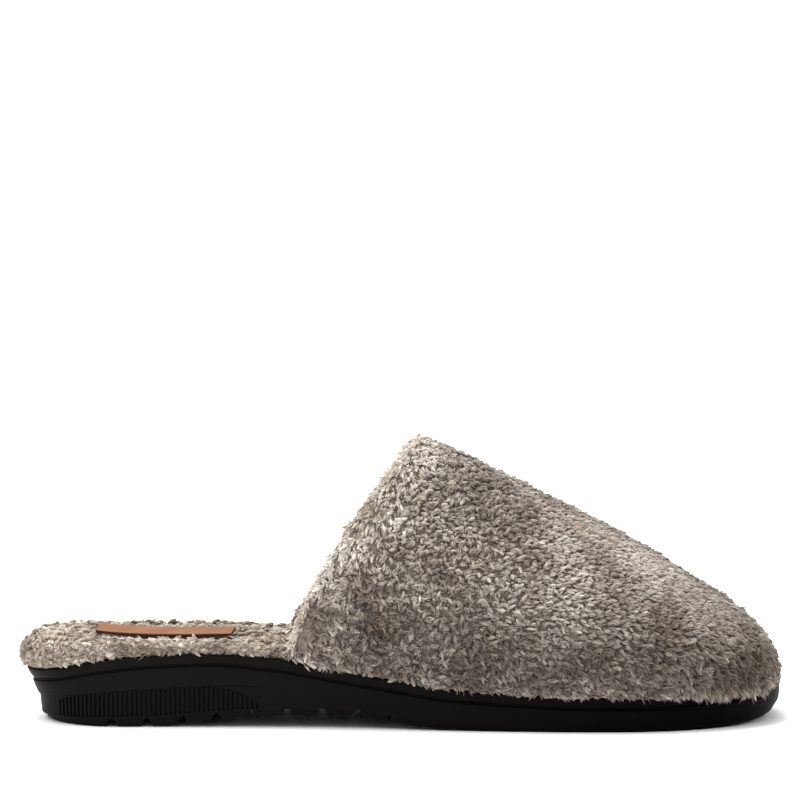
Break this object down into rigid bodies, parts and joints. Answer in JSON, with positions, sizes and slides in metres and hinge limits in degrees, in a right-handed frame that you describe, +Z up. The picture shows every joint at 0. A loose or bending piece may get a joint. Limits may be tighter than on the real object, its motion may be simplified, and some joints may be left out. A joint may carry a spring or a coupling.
{
  "type": "fur slipper",
  "caption": "Right-foot closed-toe mule slipper with a curly fleece upper and footbed, a plain leather label and a black moulded rubber unit sole.",
  "frame": {"origin": "on the floor, under the middle of the slipper's bounding box", "axes": "+X to the toe, +Y to the inner side of the right foot, +Z up"},
  "size_m": [0.2644, 0.0984, 0.0981],
  "materials": {
    "outsole": "satin moulded rubber",
    "insole": "curly fleece pile, beige grey",
    "upper": "curly fleece pile, warm grey",
    "label": "smooth tan leather, left bare"
  },
  "bodies": {
    "root": {"outsole": "outsole", "insole": "insole", "upper": "upper", "label": "label"}
  },
  "joints": []
}
